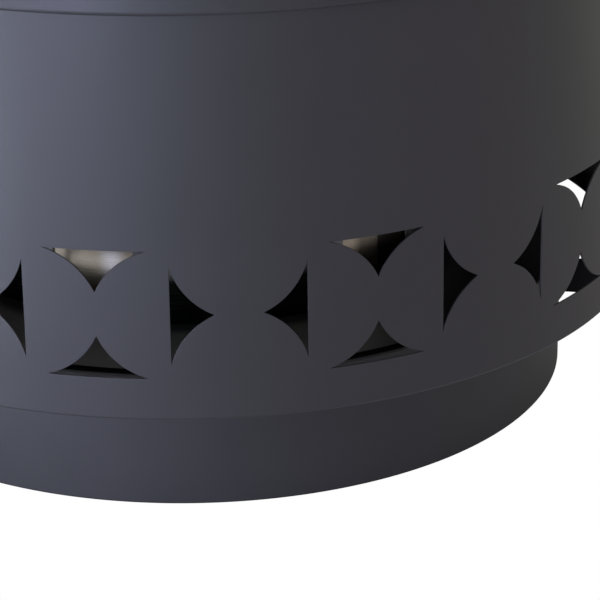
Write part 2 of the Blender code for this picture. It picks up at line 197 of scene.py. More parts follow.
# Meshes as (points, normals, faces)

def spin(points, normals, steps, first=0.0, closed=True):
    """Turns a section round Z. An open section leaves its ends open."""
    angles = first + 2 * pi * np.arange(steps) / steps
    cosines, sines = np.cos(angles)[:, None], np.sin(angles)[:, None]
    spots = np.stack([points[:, 0] * cosines, points[:, 0] * sines, points[:, 1] + 0 * cosines], -1)
    aims = np.stack([normals[:, 0] * cosines, normals[:, 0] * sines, normals[:, 1] + 0 * cosines], -1)
    rows = len(points)
    faces = []
    for i in range(rows if closed else rows - 1):
        j = (i + 1) % rows
        if points[i][0] < WELD and points[j][0] < WELD:
            continue
        for k in range(steps):
            here, there = k * rows, (k + 1) % steps * rows
            faces.append((here + i, here + j, there + j, there + i))
    return spots.reshape(-1, 3), aims.reshape(-1, 3), faces


def tube(size, rings):
    """The faces between rings of points that follow one another, each ring a closed loop of that size."""
    faces = []
    for ring in range(rings - 1):
        near, far = ring * size, (ring + 1) * size
        for i in range(size):
            j = (i + 1) % size
            faces.append((near + i, near + j, far + j, far + i))
    return faces


def outline_normals(outline):
    """Unit normals of a closed outline that point out of it, with the stretch of each mitre."""
    points = np.array(outline)
    way = np.roll(points, -1, 0) - points
    way /= np.linalg.norm(way, axis=1)[:, None]
    x, y = points.T
    area = np.sum(x * np.roll(y, -1) - np.roll(x, -1) * y)
    side = np.stack([way[:, 1], -way[:, 0]], 1) * np.sign(area)
    both = side + np.roll(side, 1, 0)
    both /= np.linalg.norm(both, axis=1)[:, None]
    stretch = 1 / np.maximum(np.sum(both * side, 1), 1 / MITRE_LIMIT)
    return both, stretch


def inside(spots, outline):
    """Which spots lie inside a closed outline, by counting the edges that a line to the right crosses."""
    points = np.array(outline)
    ends = np.roll(points, -1, 0)
    x, y = spots[:, 0][:, None], spots[:, 1][:, None]
    crosses = (points[:, 1] > y) != (ends[:, 1] > y)
    rise = np.where(ends[:, 1] == points[:, 1], 1, ends[:, 1] - points[:, 1])
    reach = points[:, 0] + (y - points[:, 1]) / rise * (ends[:, 0] - points[:, 0])
    return (crosses & (x < reach)).sum(1) % 2 == 1


def clearance(spots, outline):
    """The distance from each spot to the nearest point of a closed outline."""
    points = np.array(outline)
    way = np.roll(points, -1, 0) - points
    gap = spots[:, None, :] - points[None]
    share = np.clip((gap * way).sum(2) / (way * way).sum(1), 0, 1)
    return np.linalg.norm(gap - share[..., None] * way, axis=2).min(1)


def layer(width, rows, columns, outlines):
    """Triangles over one sector of wall, width wide and through the heights in rows, with holes."""
    across = [width * k / columns for k in range(columns + 1)]
    spots = [(x, rows[0]) for x in across] + [(width, z) for z in rows[1:]]
    spots += [(x, rows[-1]) for x in across[-2::-1]] + [(0.0, z) for z in rows[-2:0:-1]]
    edges = [(i, (i + 1) % len(spots)) for i in range(len(spots))]
    free = np.array([(x, z) for x in across[1:-1] for z in rows[1:-1]])
    least = 0.45 * min(width / columns, rows[1] - rows[0])
    for outline in outlines:
        free = free[~inside(free, outline) & (clearance(free, outline) > least)]
        start, size = len(spots), len(outline)
        spots += [tuple(spot) for spot in outline]
        edges += [(start + i, start + (i + 1) % size) for i in range(size)]
    spots += [tuple(spot) for spot in free]
    made = delaunay_2d_cdt([Vector(spot) for spot in spots], edges, [], 0, 1e-7)
    flat = np.array([tuple(spot) for spot in made[0]])
    faces = [tuple(face) for face in made[2]]
    middles = np.array([flat[list(face)].mean(0) for face in faces])
    keep = np.ones(len(faces), bool)
    for outline in outlines:
        keep &= ~inside(middles, outline)
    return flat, [face for face, kept in zip(faces, keep) if kept]


def pierced(points, normals, radius, thickness, sectors, columns, first, rows, outlines):
    """A turned sheet whose upright wall has holes.

    first is the angle where a sector starts. rows are the heights of the band with the holes, and each
    outline is a hole in one sector, as (angle from the sector's start, height).
    """
    low, high = rows[0], rows[-1]
    count = len(points)
    walls = {"out": (radius, 1), "in": (radius - thickness, -1)}
    crossing = {}
    for i in range(count):
        a, b = points[i], points[(i + 1) % count]
        for name, (wall, _) in walls.items():
            level = abs(a[0] - wall) < WELD and abs(b[0] - wall) < WELD
            if level and min(a[1], b[1]) <= low and max(a[1], b[1]) >= high:
                crossing[name] = i
    parts = []
    for start, end, row in (("out", "in", low), ("in", "out", high)):
        chain = [((walls[start][0], row), (walls[start][1], 0))]
        i = (crossing[start] + 1) % count
        while True:
            chain.append((tuple(points[i]), tuple(normals[i])))
            if i == crossing[end]:
                break
            i = (i + 1) % count
        chain.append(((walls[end][0], row), (walls[end][1], 0)))
        strip, aims = (np.array(column) for column in zip(*chain))
        parts.append(spin(strip, aims, sectors * columns, first, closed=False))

    def bent(spots, wall, turn):
        """Flat spots of a sector bent round at a wall's radius, with their ways out and round."""
        angle = first + turn + spots[:, 0] / radius
        level = 0 * angle
        radial = np.stack([np.cos(angle), np.sin(angle), level], 1)
        around = np.stack([-np.sin(angle), np.cos(angle), level], 1)
        return radial * wall + np.stack([level, level, spots[:, 1]], 1), radial, around

    holes = []
    for outline in outlines:
        hole = np.array([(angle * radius, z) for angle, z in outline])
        holes.append((hole, *outline_normals(hole)))
    grown = [hole + out * (stretch * EDGE_ROUND)[:, None] for hole, out, stretch in holes]
    flat, faces = layer(2 * pi * radius / sectors, rows, columns, grown)
    ways = (range(EDGE_STEPS + 1), range(EDGE_STEPS, -1, -1))
    for sector in range(sectors):
        turn = 2 * pi * sector / sectors
        for wall, side in walls.values():
            spots, radial, _ = bent(flat, wall, turn)
            parts.append((spots, radial * side, [face[::side] for face in faces]))
        for hole, out, stretch in holes:
            into = np.array([0, 0, 1]) * out[:, 1:]
            rings, aims = [], []
            for (wall, side), steps in zip(walls.values(), ways):
                for step in steps:
                    tilt = pi / 2 / EDGE_STEPS * step
                    grow = EDGE_ROUND * (1 - sin(tilt))
                    depth = EDGE_ROUND * (1 - cos(tilt))
                    spots, radial, around = bent(
                        hole + out * (stretch * grow)[:, None], wall - side * depth, turn
                    )
                    rings.append(spots)
                    aims.append(radial * cos(tilt) * side - (around * out[:, :1] + into) * sin(tilt))
            parts.append((np.concatenate(rings), np.concatenate(aims), tube(len(hole), len(rings))))
    return parts


def leaned(parts, lean):
    """Tips the normals of an upright outer wall down, as if it widened upwards by that angle."""
    made = []
    for spots, aims, faces in parts:
        away = spots[:, :2] / np.maximum(np.linalg.norm(spots[:, :2], axis=1), WELD)[:, None]
        facing = np.sum(away * aims[:, :2], 1) > WALL_FACING
        tipped = aims - np.outer(facing * tan(lean), (0, 0, 1))
        made.append((spots, tipped / np.linalg.norm(tipped, axis=1)[:, None], faces))
    return made


def placed(part, matrix):
    """The part moved by a matrix."""
    spots, aims, faces = part
    turn = np.array(matrix.to_3x3())
    return spots @ turn.T + np.array(matrix.translation), aims @ turn.T, faces


def prism(corners, low, high, matrix):
    """A plate: its closed outline of (x, y, bend) run from low to high, with softened edges."""
    points, normals = section(corners)
    rings, aims = [], []
    for height, inset, tilt in (
        (low, PLATE_EDGE, -1), (low, PLATE_EDGE, -0.7), (low + PLATE_EDGE, 0, 0),
        (high - PLATE_EDGE, 0, 0), (high, PLATE_EDGE, 0.7), (high, PLATE_EDGE, 1),
    ):
        flat = points - normals * inset
        rings.append(np.column_stack([flat, np.full(len(flat), height)]))
        side = normals * sqrt(1 - tilt * tilt)
        aims.append(np.column_stack([side, np.full(len(flat), tilt)]))
    size = len(points)
    ends = [tuple(range(size))[::-1], tuple(range((len(rings) - 1) * size, len(rings) * size))]
    faces = ends + tube(size, len(rings))
    return placed((np.concatenate(rings), np.concatenate(aims), faces), matrix)


def outward(angle, radius, height):
    """Local X runs round the drum, local Y up and local Z straight out from its axis."""
    turn = Matrix((
        (-sin(angle), 0, cos(angle)),
        (cos(angle), 0, sin(angle)),
        (0, 1, 0),
    )).to_4x4()
    return Matrix.Translation((radius * cos(angle), radius * sin(angle), height)) @ turn


def piece(name, parts, finish, body, nodes):
    """One named piece from its parts, welded where they meet, riding on a body in place of CAD nodes."""
    spots = np.concatenate([part[0] for part in parts])
    aims = np.concatenate([part[1] for part in parts])
    faces, start = [], 0
    for part in parts:
        faces += [tuple(start + i for i in face) for face in part[2]]
        start += len(part[0])
    mesh = bpy.data.meshes.new(name)
    mesh.from_pydata(spots.tolist(), [], faces)
    bm = bmesh.new()
    bm.from_mesh(mesh)
    aim = bm.verts.layers.float_vector.new("aim")
    for vert, way in zip(bm.verts, aims):
        vert[aim] = way
    bmesh.ops.remove_doubles(bm, verts=bm.verts, dist=WELD)
    bmesh.ops.dissolve_degenerate(bm, edges=bm.edges, dist=WELD / 10)
    bmesh.ops.recalc_face_normals(bm, faces=bm.faces)
    bm.to_mesh(mesh)
    bm.free()
    stored = mesh.attributes["aim"]
    ways = np.zeros(len(mesh.vertices) * 3, np.float32)
    stored.data.foreach_get("vector", ways)
    mesh.attributes.remove(stored)
    mesh.shade_smooth()
    mesh.normals_split_custom_set_from_vertices(ways.reshape(-1, 3).tolist())
    made = bpy.data.objects.new(name, mesh)
    bpy.context.scene.collection.objects.link(made)
    mesh.materials.append(finish)
    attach(made, body)
    if nodes:
        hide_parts(*nodes)
    return made


# Materials

class Nodes:
    """A material's nodes, made in the order that they are used."""

    def __init__(self, name):
        self.material = bpy.data.materials.new(name)
        self.material.use_nodes = True
        self.tree = self.material.node_tree
        self.shader = self.tree.nodes["Principled BSDF"]
        self.where = self.tree.nodes.new("ShaderNodeTexCoord").outputs["Object"]

    def link(self, socket, value):
        if hasattr(value, "links"):
            self.tree.links.new(value, socket)
        elif value is not None:
            socket.default_value = value

    def make(self, kind, output=0, **values):
        made = self.tree.nodes.new(kind)
        settings = {k: v for k, v in values.items() if hasattr(made, k) and k not in made.inputs}
        for key, value in settings.items():
            setattr(made, key, value)
        for key, value in values.items():
            if key not in settings:
                self.link(made.inputs[key.replace("_", " ")], value)
        return made.outputs[output]

    def math(self, operation, a, b=None, c=None, clamp=False):
        made = self.tree.nodes.new("ShaderNodeMath")
        made.operation = operation
        made.use_clamp = clamp
        for socket, value in zip(made.inputs, (a, b, c)):
            self.link(socket, value)
        return made.outputs[0]

    def times(self, share, *others):
        """The product of several shares."""
        for other in others:
            share = self.math("MULTIPLY", share, other)
        return share

    def most(self, share, *others):
        """The largest of several shares."""
        for other in others:
            share = self.math("MAXIMUM", share, other)
        return share

    def noise(self, vector, scale, detail=3.0, roughness=0.5):
        return self.make(
            "ShaderNodeTexNoise", Vector=vector, Scale=scale, Detail=detail, Roughness=roughness
        )

    def remap(self, value, low, high, to_low=0.0, to_high=1.0):
        made = self.tree.nodes.new("ShaderNodeMapRange")
        for socket, given in zip(made.inputs, (value, low, high, to_low, to_high)):
            self.link(socket, given)
        return made.outputs[0]

    def mix(self, share, a, b):
        made = self.tree.nodes.new("ShaderNodeMix")
        made.data_type = "RGBA"
        self.link(made.inputs[0], share)
        for socket, value in zip((made.inputs[6], made.inputs[7]), (a, b)):
            self.link(socket, (*value, 1) if isinstance(value, tuple) else value)
        return made.outputs[2]

    def bump(self, height, distance, strength=1.0, after=None):
        made = self.tree.nodes.new("ShaderNodeBump")
        made.inputs["Strength"].default_value = strength
        made.inputs["Distance"].default_value = distance
        self.link(made.inputs["Height"], height)
        if after is not None:
            self.link(made.inputs["Normal"], after)
        return made.outputs[0]

    def parts(self):
        """X, Y, height and distance from the axis."""
        split = self.tree.nodes.new("ShaderNodeSeparateXYZ")
        self.link(split.inputs[0], self.where)
        x, y, z = split.outputs
        squares = self.math("ADD", self.times(x, x), self.times(y, y))
        return x, y, z, self.math("SQRT", squares)

    def grain(self, length, pitch):
        """Coordinates for brush marks that run round the axis, of a length and one pitch apart."""
        x, y, z, across = self.parts()
        joined = self.tree.nodes.new("ShaderNodeCombineXYZ")
        self.link(joined.inputs[0], self.times(x, 1 / length))
        self.link(joined.inputs[1], self.times(y, 1 / length))
        self.link(joined.inputs[2], self.times(self.math("ADD", z, across), 1 / pitch))
        return joined.outputs[0]

    def seam(self, azimuth, half_width):
        """1 on an upright joint line at an azimuth, falling to 0 on both its sides."""
        x, y, _, across = self.parts()
        aside = self.math("ABSOLUTE", self.math("SUBTRACT", self.math("ARCTAN2", y, x), azimuth))
        return self.remap(self.times(aside, across), half_width, half_width * 0.3)

    def set(self, **values):
        for key, value in values.items():
            self.link(self.shader.inputs[key.replace("_", " ")], value)


COAT_DARK = (0.0285, 0.0280, 0.0300)
COAT_LIGHT = (0.0320, 0.0314, 0.0336)
COAT_SPECK = (0.050, 0.049, 0.052)
# Tone of random dust flecks, also used for the painted highlight on the casing's lower fold
COAT_DUST_AND_HIGHLIGHT = (0.12, 0.12, 0.12)
# Pale tone of painted light on the plinth's top and wall, in the look of dust
TOP_LIGHT_TONE = (0.52, 0.52, 0.485)
# Near-black painted shade, with its lower sheen, on the plinth's shoulder, the brackets, the casing's
# inner face and the foot line
COAT_SHADE_BLACK = (0.006, 0.006, 0.007)
COAT_ROUGH = 0.46
COAT_SPECULAR, COAT_SHADE_SPECULAR = 0.5, 0.12
STEEL_DARK = (0.44, 0.39, 0.30)
STEEL_LIGHT = (0.66, 0.595, 0.475)
STEEL_WARM = (0.56, 0.465, 0.335)
STEEL_STRAW = (0.50, 0.36, 0.20)
STEEL_SEAM = (0.30, 0.20, 0.12)
# Tone of a painted highlight streak on the bowl's outer wall
STEEL_HIGHLIGHT = (0.96, 0.93, 0.93)
# Near-black tone of painted shade and painted dark reflection on the bowl and its ring
DEEP_SHADE = (0.006, 0.006, 0.006)
OLD_SOOT = (0.035, 0.032, 0.030)
RING_DARK = (0.26, 0.27, 0.27)
RING_LIGHT = (0.36, 0.37, 0.37)
RING_STAIN = (0.30, 0.29, 0.26)
BAR_DARK = (0.020, 0.019, 0.018)
BAR_LIGHT = (0.042, 0.039, 0.036)
BAR_SCALE = (0.105, 0.080, 0.062)
BAR_ASH = (0.16, 0.15, 0.14)
RIVET_DARK = (0.42, 0.42, 0.41)
RIVET_LIGHT = (0.62, 0.61, 0.59)

# Where the casing and the plinth change their looks, and the least width of such a change
HAIR = 0.0001
SHOULDER_BAND = 0.0024
# Painted light on the plinth's wall starts this far below its top
WALL_LIGHT_FROM = 0.0065
# Painted light on the plinth's top grows between these distances from the axis
TOP_LIGHT_FROM, TOP_LIGHT_FULL = BOWL_RADIUS + 0.007, BOWL_RADIUS + 0.018
# Painted shade: the plinth's top turns black between these X positions, on the side that lay in shade
SHADE_SIDE_FROM, SHADE_SIDE_FULL = 0.17, 0.24
# Painted shade on the casing's inner face, inside this radius
INNER_SHADE_RADIUS = SHELL_RADIUS - 0.0013
# The painted highlight on the casing's lower fold grows between these X positions
FOLD_HIGHLIGHT_FROM, FOLD_HIGHLIGHT_FULL = 0.14, 0.27
# Height of the painted contact shadow along the plinth's foot
FOOT_SHADOW_LINE = 0.0015
SEAM_AZIMUTH = radians(103)
SEAM_HALF_WIDTH = 0.0022

# Where the bowl and its ring change theirs: heights, angles and distances from the axis
TINT_FROM, TINT_FULL = 0.355, 0.385
INNER_SOOT_FROM, INNER_SOOT_FULL = 0.33, 0.20
BOWL_INSIDE = BOWL_RADIUS - 0.0008
BOWL_SEAM_AZIMUTH = radians(128)
BOWL_SEAM_HALF_WIDTH = 0.0020
BOWL_STAIN_HALF_WIDTH = 0.0075
# Painted highlight streak on the bowl's outer wall, at this azimuth
HIGHLIGHT_AZIMUTH = radians(-96.5)
HIGHLIGHT_HALF_ANGLE = 0.065
# Painted dark reflection on the bowl's outer wall between these azimuths, fainter from the first
FAINT_REFLECTION_FROM = radians(-43)
DARK_REFLECTION_FROM = radians(-37.4)
DARK_REFLECTION_TO = radians(-27)
DARK_REFLECTION_FADE = 0.05
# Painted shade low on the bowl's outer wall, darker towards the bottom between these heights
BOWL_SHADE_FROM, BOWL_SHADE_FULL = RING_BOTTOM + 0.0385, RING_BOTTOM + 0.0195
# Painted shade on the ring's foot, darker towards the bottom between these heights
RING_SHADE_FROM, RING_SHADE_FULL = RING_BOTTOM + 0.043, RING_BOTTOM + 0.034

# The heights between which ash comes over the grate
ASH_FROM, ASH_FULL = 0.208, 0.222


def powder_coat():
    """Satin blue-grey powder coat: a fine orange peel, specks, and slight clouding in colour and sheen.

    Painted light in a pale dust tone lies on the plinth's top and thinly on its wall. Painted shade in
    near black covers the plinth's shoulder, the brackets, the casing's inner face and the foot. The
    casing's lower fold has a painted highlight on one side.
    """
    n = Nodes("casing_coat_look")
    x, _, z, across = n.parts()
    peel = n.noise(n.where, 700, 2.0, 0.55)
    speck = n.noise(n.where, 2600, 1.0, 0.5)
    cloud = n.noise(n.where, 9, 4.0, 0.6)
    dust = n.noise(n.where, 260, 3.0, 0.7)
    shade = n.mix(n.remap(cloud, 0.3, 0.7), COAT_DARK, COAT_LIGHT)
    shade = n.mix(n.remap(speck, 0.60, 0.80, 0.0, 0.35), shade, COAT_SPECK)
    shade = n.mix(n.remap(dust, 0.72, 0.86, 0.0, 0.10), shade, COAT_DUST_AND_HIGHLIGHT)

    plinth = n.math("LESS_THAN", across, PLINTH_RADIUS + HAIR)
    upper = n.times(plinth, n.math("LESS_THAN", z, PLINTH_TOP + 0.001))
    edge = n.remap(across, PLINTH_RADIUS - PLINTH_BEND, PLINTH_RADIUS - PLINTH_BEND + 5 * HAIR)
    flat = n.times(upper, n.remap(z, PLINTH_TOP - 6 * HAIR, PLINTH_TOP - HAIR))
    # Painted shade towards +X on the plinth's top
    far = n.remap(x, SHADE_SIDE_FROM, SHADE_SIDE_FULL)
    band_low, band_high = PLINTH_TOP - SHOULDER_BAND - 2 * HAIR, PLINTH_TOP - SHOULDER_BAND + 2 * HAIR
    # Painted light on the plinth's top and on its wall below the shoulder, in a pale dust tone
    top_painted_light = n.times(
        flat,
        n.math("SUBTRACT", 1.0, n.most(edge, far)),
        n.remap(across, TOP_LIGHT_FROM, TOP_LIGHT_FULL, 0.25, 1.0),
    )
    wall_painted_light = n.times(
        plinth,
        n.remap(z, PLINTH_TOP - WALL_LIGHT_FROM, band_low + HAIR, 0.0, 0.10),
        n.remap(z, band_high, band_low),
    )
    painted_light_share = n.times(n.math("ADD", top_painted_light, wall_painted_light), n.remap(cloud, 0.2, 0.8, 0.8, 1.0))
    shade = n.mix(painted_light_share, shade, TOP_LIGHT_TONE)

    # Painted shade in near black: the brackets under the casing, the casing's inner face, a contact
    # shadow at the foot, the plinth's shoulder, and its top on the shaded side
    brackets = n.times(
        n.remap(across, PLINTH_RADIUS + HAIR, PLINTH_RADIUS + 2 * HAIR),
        n.remap(across, SHELL_RADIUS - 0.0020, SHELL_RADIUS - 0.0022),
        n.remap(z, SHELL_BOTTOM, SHELL_BOTTOM - HAIR),
    )
    inner_shade = n.times(
        n.remap(across, INNER_SHADE_RADIUS, INNER_SHADE_RADIUS - HAIR),
        n.remap(across, PLINTH_RADIUS + 0.01, PLINTH_RADIUS + 0.02),
        n.remap(z, SHELL_BOTTOM + 0.0025, SHELL_BOTTOM + 0.006),
        n.remap(z, SHELL_TOP + 2 * HAIR, SHELL_TOP + HAIR),
    )
    foot = n.remap(z, FOOT_SHADOW_LINE, FOOT_SHADOW_LINE / 3, 0.0, 0.85)
    shoulder = n.times(upper, edge, n.remap(z, band_low, band_high))
    painted_shade = n.most(brackets, inner_shade, foot, shoulder, n.times(flat, far))
    shade = n.mix(painted_shade, shade, COAT_SHADE_BLACK)
    # Painted highlight along the casing's lower fold, stronger towards +X
    fold_highlight = n.times(
        n.remap(z, SHELL_BOTTOM + 0.0020, SHELL_BOTTOM + 0.0012),
        n.remap(across, SHELL_RADIUS - 0.0030, SHELL_RADIUS - 0.0020),
        n.remap(z, SHELL_BOTTOM - 2 * HAIR, SHELL_BOTTOM),
        n.remap(x, FOLD_HIGHLIGHT_FROM, FOLD_HIGHLIGHT_FULL, 0.0, 0.30),
    )
    shade = n.mix(fold_highlight, shade, COAT_DUST_AND_HIGHLIGHT)

    n.set(
        Base_Color=shade,
        Metallic=0.0,
        Specular_IOR_Level=n.remap(painted_shade, 0, 1, COAT_SPECULAR, COAT_SHADE_SPECULAR),
        Roughness=n.math(
            "ADD",
            n.remap(cloud, 0.3, 0.7, COAT_ROUGH - 0.02, COAT_ROUGH + 0.02),
            n.remap(speck, 0.3, 0.7, -0.02, 0.02),
        ),
    )
    seam = n.times(
        n.seam(SEAM_AZIMUTH, SEAM_HALF_WIDTH),
        n.math("GREATER_THAN", across, PLINTH_RADIUS - 0.003),
        n.math("LESS_THAN", z, LEDGE_BOTTOM),
        n.remap(dust, 0.2, 0.8, 0.6, 1.0),
    )
    n.set(Normal=n.bump(peel, 0.00006, 0.5, n.bump(speck, 0.000012, 0.5, n.bump(seam, 0.0006, 0.8))))
    return n.material


def brushed_steel():
    """Warm stainless, brushed round its axis, with heat tint towards the rim and soot inside.

    Outside it has a painted highlight streak, a painted dark reflection with a fainter one beside it,
    painted shade low down and a seam.
    """
    n = Nodes("bowl_steel_look")
    x, y, z, across = n.parts()
    streak = n.noise(n.grain(0.035, 0.0007), 1, 3.0, 0.6)
    long = n.noise(n.grain(0.30, 0.004), 1, 2.0, 0.5)
    cloud = n.noise(n.where, 16, 4.0, 0.6)
    tone = n.mix(n.remap(streak, 0.25, 0.75), STEEL_DARK, STEEL_LIGHT)
    tone = n.mix(n.remap(long, 0.35, 0.65, 0.0, 0.35), tone, STEEL_WARM)
    height = n.math("ADD", z, n.remap(cloud, 0, 1, -0.02, 0.02))
    tone = n.mix(n.remap(height, TINT_FROM, TINT_FULL, 0.0, 0.25), tone, STEEL_STRAW)
    inner = n.math("LESS_THAN", across, BOWL_INSIDE)
    soot_and_shade = n.times(
        inner, n.remap(height, INNER_SOOT_FROM, INNER_SOOT_FULL), n.remap(cloud, 0.25, 0.6, 0.45, 0.8)
    )
    tone = n.mix(soot_and_shade, tone, OLD_SOOT)

    outer = n.times(n.math("SUBTRACT", 1.0, inner), n.math("LESS_THAN", z, RING_TOP + 0.02))
    azimuth = n.math("ARCTAN2", y, x)
    # Painted highlight: a bright streak at one azimuth on the outer wall
    highlight_share = n.make(
        "ShaderNodeMapRange",
        interpolation_type="SMOOTHSTEP",
        Value=n.math("ABSOLUTE", n.math("SUBTRACT", azimuth, HIGHLIGHT_AZIMUTH)),
        From_Min=HIGHLIGHT_HALF_ANGLE,
        From_Max=0.0,
        To_Min=0.0,
        To_Max=0.9,
    )
    tone = n.mix(n.times(outer, highlight_share), tone, STEEL_HIGHLIGHT)
    # Painted dark reflection at some azimuths, with a fainter one beside it
    dark_reflection = n.most(
        n.remap(azimuth, DARK_REFLECTION_FROM - 0.006, DARK_REFLECTION_FROM + 0.006),
        n.remap(azimuth, FAINT_REFLECTION_FROM - 0.02, FAINT_REFLECTION_FROM + 0.02, 0.0, 0.62),
    )
    dark_reflection = n.times(dark_reflection, n.remap(azimuth, DARK_REFLECTION_TO + DARK_REFLECTION_FADE, DARK_REFLECTION_TO))
    # Painted shade: the outer wall turns near black low down and at the painted dark reflection
    painted_dark = n.times(
        outer,
        n.most(dark_reflection, n.remap(z, BOWL_SHADE_FROM, BOWL_SHADE_FULL)),
        n.remap(cloud, 0.3, 0.7, 0.90, 0.97),
    )
    tone = n.mix(painted_dark, tone, DEEP_SHADE)

    upright = n.times(n.math("LESS_THAN", z, BOWL_TOP), n.math("GREATER_THAN", z, BOWL_BOTTOM + 0.01))
    seam = n.times(upright, n.seam(BOWL_SEAM_AZIMUTH, BOWL_SEAM_HALF_WIDTH))
    stain = n.times(upright, n.seam(BOWL_SEAM_AZIMUTH, BOWL_STAIN_HALF_WIDTH), 0.5)
    tone = n.mix(stain, tone, STEEL_SEAM)
    rough = n.math("ADD", n.remap(streak, 0.25, 0.75, 0.13, 0.19), n.times(soot_and_shade, 0.35))
    n.set(Base_Color=tone, Metallic=1.0, Roughness=rough)
    n.set(Normal=n.bump(streak, 0.00002, 0.35, n.bump(seam, 0.0004, 0.7)))
    return n.material


def galvanised():
    """Grey zinc-coated sheet with faint spangle and handling marks, and painted shade in near black on
    the ring's foot.
    """
    n = Nodes("ring_steel_look")
    _, _, z, across = n.parts()
    spangle = n.make("ShaderNodeTexVoronoi", "Color", Vector=n.where, Scale=130.0)
    cell = n.make("ShaderNodeSeparateColor", Color=spangle)
    cloud = n.noise(n.where, 30, 4.0, 0.6)
    streak = n.noise(n.grain(0.05, 0.0012), 1, 2.0, 0.5)
    tone = n.mix(cell, RING_DARK, RING_LIGHT)
    tone = n.mix(n.remap(cloud, 0.4, 0.75, 0.0, 0.4), tone, RING_STAIN)
    # Painted shade: the ring's foot turns near black
    soot_and_shade = n.times(
        n.remap(z, RING_SHADE_FROM, RING_SHADE_FULL),
        n.math("GREATER_THAN", across, BOWL_RADIUS - 0.03),
        n.remap(streak, 0.3, 0.7, 0.98, 0.84),
    )
    tone = n.mix(soot_and_shade, tone, DEEP_SHADE)
    rough = n.math("ADD", n.remap(cell, 0, 1, 0.20, 0.26), n.remap(streak, 0.3, 0.7, -0.03, 0.03))
    n.set(Base_Color=tone, Metallic=1.0, Roughness=rough)
    n.set(Normal=n.bump(streak, 0.00002, 0.3, n.bump(cloud, 0.0004, 0.15)))
    return n.material


def black_bar():
    """Round bar in matt heat paint, greyed by fire on top, with mill scale showing through in flecks."""
    n = Nodes("grate_steel_look")
    z = n.parts()[2]
    scale = n.noise(n.where, 420, 4.0, 0.65)
    cloud = n.noise(n.where, 35, 5.0, 0.65)
    height = n.math("ADD", z, n.remap(cloud, 0, 1, -0.012, 0.012))
    tone = n.mix(n.remap(cloud, 0.35, 0.7), BAR_DARK, BAR_LIGHT)
    tone = n.mix(n.remap(scale, 0.58, 0.72, 0.0, 0.5), tone, BAR_SCALE)
    tone = n.mix(n.remap(height, ASH_FROM, ASH_FULL, 0.0, 0.45), tone, BAR_ASH)
    n.set(Base_Color=tone, Metallic=0.35, Roughness=n.remap(scale, 0.3, 0.7, 0.52, 0.74))
    n.set(Normal=n.bump(scale, 0.00035, 0.35, n.bump(cloud, 0.0008, 0.2)))
    return n.material


def zinc_rivet():
    """Bright zinc with turning marks and dulled patches."""
    n = Nodes("rivet_steel_look")
    fine = n.noise(n.where, 1800, 3.0, 0.6)
    cloud = n.noise(n.where, 240, 3.0, 0.6)
    tone = n.mix(n.remap(cloud, 0.35, 0.65), RIVET_DARK, RIVET_LIGHT)
    n.set(Base_Color=tone, Metallic=1.0, Roughness=n.remap(fine, 0.3, 0.7, 0.26, 0.40))
    n.set(Normal=n.bump(fine, 0.00004, 0.3))
    return n.material


COAT = powder_coat()
STEEL = brushed_steel()
ZINC = galvanised()
BLACK = black_bar()
RIVET = zinc_rivet()


# Casing

def half_star():
    """Straight edge along X through the origin with the cusp at -Y, as an outline that runs all round."""
    tip = Vector((STAR_WIDTH / 2, 0))
    cusp = Vector((0, -STAR_DEPTH))
    chord = tip - cusp
    radius = chord.length / 2 / sin(STAR_ARC_HALF_ANGLE)
    across = Vector((chord.y, -chord.x)).normalized()
    centre = (tip + cusp) / 2 + across * radius * cos(STAR_ARC_HALF_ANGLE)
    first = atan2(cusp.y - centre.y, cusp.x - centre.x)
    arc = []
    for step in range(STAR_ARC_STEPS + 1):
        angle = first - 2 * STAR_ARC_HALF_ANGLE * step / STAR_ARC_STEPS
        arc.append((centre.x + radius * cos(angle), centre.y + radius * sin(angle)))
    mirrored = [(-x, y) for x, y in arc[:0:-1]]
    count = ceil(STAR_WIDTH / STAR_EDGE_PITCH)
    straight = [(tip.x - STAR_WIDTH * i / count, 0.0) for i in range(1, count)]
    return mirrored + arc + straight


def group_outlines():
    """The four half stars of one group, as (angle from the sector's start, height)."""
    middle = pi / GROUPS
    spots = [
        (0, TOP_EDGE_OFFSET, 0),
        (0, -TOP_EDGE_OFFSET, pi),
        (SIDE_EDGE_OFFSET, 0, pi / 2),
        (-SIDE_EDGE_OFFSET, 0, -pi / 2),
    ]
    outlines = []
    for along, up, turn in spots:
        outline = []
        for x, y in half_star():
            u = x * cos(turn) - y * sin(turn)
            v = x * sin(turn) + y * cos(turn)
            angle = middle + along / SHELL_RADIUS + asin(u / SHELL_RADIUS)
            outline.append((angle, GROUP_HEIGHT + up + v))
        outlines.append(outline)
    return outlines


def heights(low, high, pitch):
    """Even steps from low to high, none longer than pitch."""
    count = ceil((high - low) / pitch)
    return [low + (high - low) * i / count for i in range(count + 1)]


